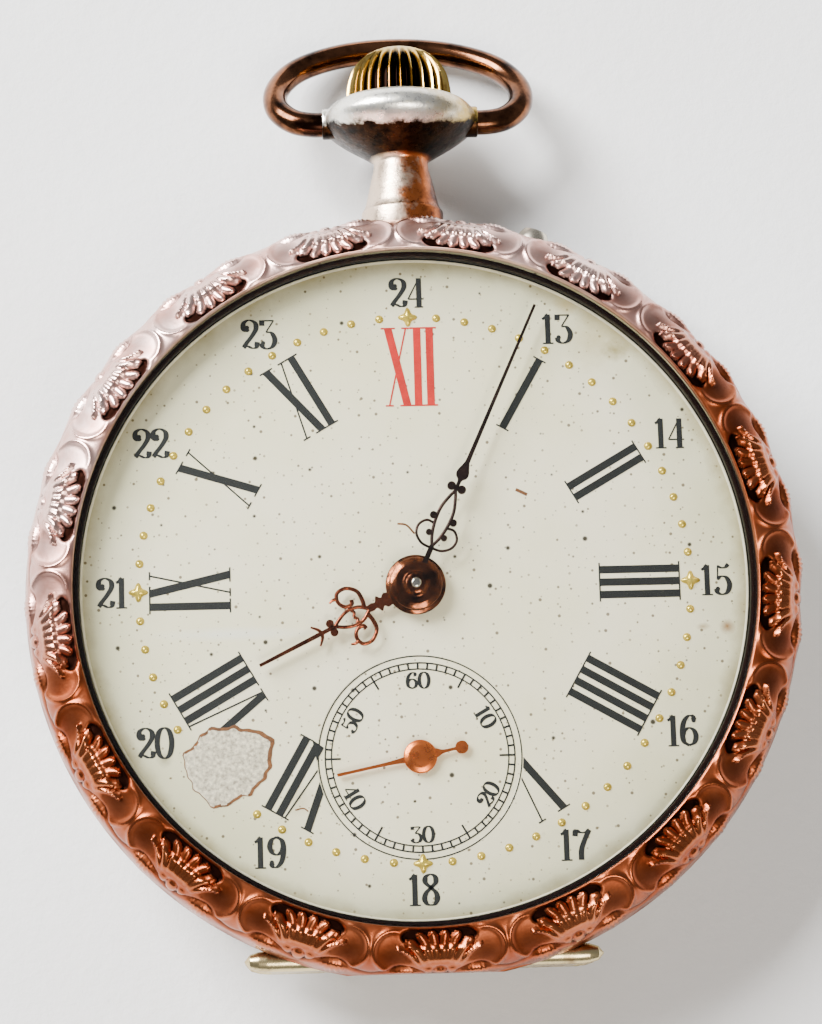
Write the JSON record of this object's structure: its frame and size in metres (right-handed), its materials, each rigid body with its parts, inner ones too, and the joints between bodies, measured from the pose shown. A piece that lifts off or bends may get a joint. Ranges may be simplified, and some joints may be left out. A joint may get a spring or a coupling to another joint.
{
  "type": "open-face fob watch",
  "caption": "Open-face fob watch: hinged chased bezel, hinged back and inner cover, enamel dial with hands, pendant, crown and bow, over a pin-set lever movement.",
  "frame": {"origin": "middle of the flat on which the back cover rests", "axes": "+Z out of the dial, +Y from the 6 to the 12, towards the crown, +X to the 3"},
  "size_m": [0.0482, 0.0616, 0.0121],
  "materials": {
    "case_silver": "worn polished silver",
    "rose_gold": "rose-gold plate, chased",
    "gold": "rolled gold, worn",
    "glass": "clear, fine scratches",
    "enamel": "fired white enamel, aged",
    "gilt_brass": "frosted gilding",
    "steel": "polished steel",
    "spring_steel": "blued spring steel",
    "screw_steel": "polished, blued",
    "hour_hand_copper": "gilt copper, oxidised",
    "minute_hand_steel": "dark brown oxide",
    "seconds_hand_copper": "gilt copper"
  },
  "bodies": {
    "case": {"case_band": "case_silver", "pendant": "case_silver", "front_hinge_pin": "steel", "rear_hinge_pin": "steel", "main_plate": "gilt_brass", "barrel_bridge": "gilt_brass", "train_bridge": "gilt_brass", "balance_cock": "gilt_brass", "pallet_cock": "gilt_brass", "dial": "enamel", "click_spring": "steel", "hairspring": "spring_steel", "barrel_bridge_screw_1": "screw_steel", "barrel_bridge_screw_2": "screw_steel", "train_bridge_screw_1": "screw_steel", "train_bridge_screw_2": "screw_steel", "balance_cock_screw": "screw_steel", "case_screw_1": "screw_steel", "case_screw_2": "screw_steel", "crown_wheel_screw": "screw_steel", "click_screw": "screw_steel"},
    "bezel": {"bezel": "rose_gold", "crystal": "glass"},
    "back": {"back_cover": "case_silver"},
    "inner_cover": {"cuvette": "case_silver"},
    "bow": {"bow": "rose_gold"},
    "minute_arbor": {"centre_wheel": "gilt_brass", "centre_pinion": "steel", "cannon_pinion": "steel", "minute_hand": "minute_hand_steel"},
    "third_arbor": {"third_wheel": "gilt_brass", "third_pinion": "steel"},
    "seconds_arbor": {"fourth_wheel": "gilt_brass", "fourth_pinion": "steel", "seconds_hand": "seconds_hand_copper"},
    "escape_arbor": {"escape_wheel": "steel", "escape_pinion": "steel"},
    "lever": {"pallet_fork": "steel"},
    "balance": {"balance_wheel": "gilt_brass", "balance_staff": "steel"},
    "index": {"regulator": "steel"},
    "barrel": {"barrel_drum": "gilt_brass", "barrel_cover": "gilt_brass"},
    "minute_wheel": {"minute_wheel": "gilt_brass"},
    "hour_arbor": {"hour_wheel": "gilt_brass", "hour_hand": "hour_hand_copper"},
    "setting_wheel": {"setting_wheel": "steel"},
    "winder": {"crown": "gold", "stem": "steel", "winding_pinion": "steel"},
    "clutch": {"sliding_pinion": "steel"},
    "crown_wheel": {"crown_wheel": "steel"},
    "ratchet": {"ratchet_wheel": "steel", "barrel_arbor": "steel", "ratchet_screw": "screw_steel", "mainspring": "spring_steel"},
    "click": {"click": "steel"},
    "pusher": {"pin_set_pusher": "case_silver"},
    "yoke": {"setting_lever": "steel"}
  },
  "joints": [
    {"name": "minute_hand_turn", "type": "hinge", "parent": "case", "child": "minute_arbor", "pos_m": [0, 0, 0.0055], "axis": [0, 0, -1], "continuous": true},
    {"name": "third_wheel_turn", "type": "hinge", "parent": "case", "child": "third_arbor", "pos_m": [0.00404, -0.00596, 0.005], "axis": [0, 0, -1], "continuous": true},
    {"name": "seconds_hand_turn", "type": "hinge", "parent": "case", "child": "seconds_arbor", "pos_m": [0, -0.01055, 0.005], "axis": [0, 0, -1], "continuous": true},
    {"name": "escape_wheel_turn", "type": "hinge", "parent": "case", "child": "escape_arbor", "pos_m": [-0.00528, -0.01055, 0.005], "axis": [0, 0, -1], "continuous": true},
    {"name": "barrel_turn", "type": "hinge", "parent": "case", "child": "barrel", "pos_m": [0.00909, 0.00331, 0.006], "axis": [0, 0, -1], "continuous": true},
    {"name": "minute_wheel_turn", "type": "hinge", "parent": "case", "child": "minute_wheel", "pos_m": [0, 0.0034, 0.0078], "axis": [0, 0, -1], "continuous": true},
    {"name": "hour_hand_turn", "type": "hinge", "parent": "case", "child": "hour_arbor", "pos_m": [0, 0, 0.0085], "axis": [0, 0, -1], "continuous": true},
    {"name": "setting_wheel_turn", "type": "hinge", "parent": "case", "child": "setting_wheel", "pos_m": [0, 0.00782, 0.0076], "axis": [0, 0, -1], "continuous": true},
    {"name": "balance_swing", "type": "hinge", "parent": "case", "child": "balance", "pos_m": [-0.01128, -0.00496, 0.004], "axis": [0, 0, -1], "range_deg": [-270, 270], "stiffness_Nm_per_rad": 0.000002},
    {"name": "lever_swing", "type": "hinge", "parent": "case", "child": "lever", "pos_m": [-0.00769, -0.0083, 0.005], "axis": [0, 0, -1], "range_deg": [-6, 6]},
    {"name": "regulator_swing", "type": "hinge", "parent": "case", "child": "index", "pos_m": [-0.01128, -0.00496, 0.0021], "axis": [0, 0, 1], "range_deg": [-20, 20]},
    {"name": "crown_turn", "type": "hinge", "parent": "case", "child": "winder", "pos_m": [0, 0.032, 0.00565], "axis": [0, 1, 0], "continuous": true},
    {"name": "crown_wheel_turn", "type": "hinge", "parent": "case", "child": "crown_wheel", "pos_m": [0, 0.00962, 0.0029], "axis": [0, 0, 1], "continuous": true},
    {"name": "ratchet_turn", "type": "hinge", "parent": "case", "child": "ratchet", "pos_m": [0.00909, 0.00331, 0.0025], "axis": [0, 0, 1], "continuous": true},
    {"name": "click_swing", "type": "hinge", "parent": "case", "child": "click", "pos_m": [0.01133, 0.01167, 0.0025], "axis": [0, 0, -1], "range_deg": [0, 8], "stiffness_Nm_per_rad": 0.0001},
    {"name": "pusher_press", "type": "slide", "parent": "case", "child": "pusher", "axis": [-0.342, -0.9397, 0], "range_m": [0, 0.0005], "stiffness_N_per_m": 400},
    {"name": "setting_lever_swing", "type": "hinge", "parent": "case", "child": "yoke", "pos_m": [0.0105, 0.01499, 0.0044], "axis": [0, 0, 1], "range_deg": [0, 6.2]},
    {"name": "sliding_pinion_shift", "type": "slide", "parent": "winder", "child": "clutch", "axis": [0, -1, 0], "range_m": [0, 0.0012]},
    {"name": "bow_swing", "type": "hinge", "parent": "case", "child": "bow", "pos_m": [0, 0.0308, 0.00565], "axis": [1, 0, 0], "range_deg": [-90, 175]},
    {"name": "bezel_hinge", "type": "hinge", "parent": "case", "child": "bezel", "pos_m": [0, -0.0226, 0.0072], "axis": [1, 0, 0], "range_deg": [0, 95]},
    {"name": "back_hinge", "type": "hinge", "parent": "case", "child": "back", "pos_m": [0, -0.0226, 0.0036], "axis": [-1, 0, 0], "range_deg": [0, 100]},
    {"name": "inner_cover_hinge", "type": "hinge", "parent": "case", "child": "inner_cover", "pos_m": [0, -0.0226, 0.0036], "axis": [-1, 0, 0], "range_deg": [0, 80.5]}
  ],
  "couplings": [
    {"joint": "third_wheel_turn", "follows": "minute_hand_turn", "ratio": -8},
    {"joint": "seconds_hand_turn", "follows": "minute_hand_turn", "ratio": 60},
    {"joint": "escape_wheel_turn", "follows": "minute_hand_turn", "ratio": -600},
    {"joint": "barrel_turn", "follows": "minute_hand_turn", "ratio": -0.125},
    {"joint": "minute_wheel_turn", "follows": "minute_hand_turn", "ratio": -0.33333},
    {"joint": "hour_hand_turn", "follows": "minute_hand_turn", "ratio": 0.083333},
    {"joint": "setting_wheel_turn", "follows": "minute_hand_turn", "ratio": 0.45455},
    {"joint": "lever_swing", "follows": "balance_swing", "ratio": 0.022},
    {"joint": "crown_wheel_turn", "follows": "crown_turn", "ratio": 0.5},
    {"joint": "ratchet_turn", "follows": "crown_turn", "ratio": -0.29412},
    {"joint": "setting_lever_swing", "follows": "pusher_press", "rad_per_m": 211},
    {"joint": "sliding_pinion_shift", "follows": "pusher_press", "ratio": 2.26},
    {"joint": "inner_cover_hinge", "follows": "back_hinge", "ratio": 0.8}
  ]
}
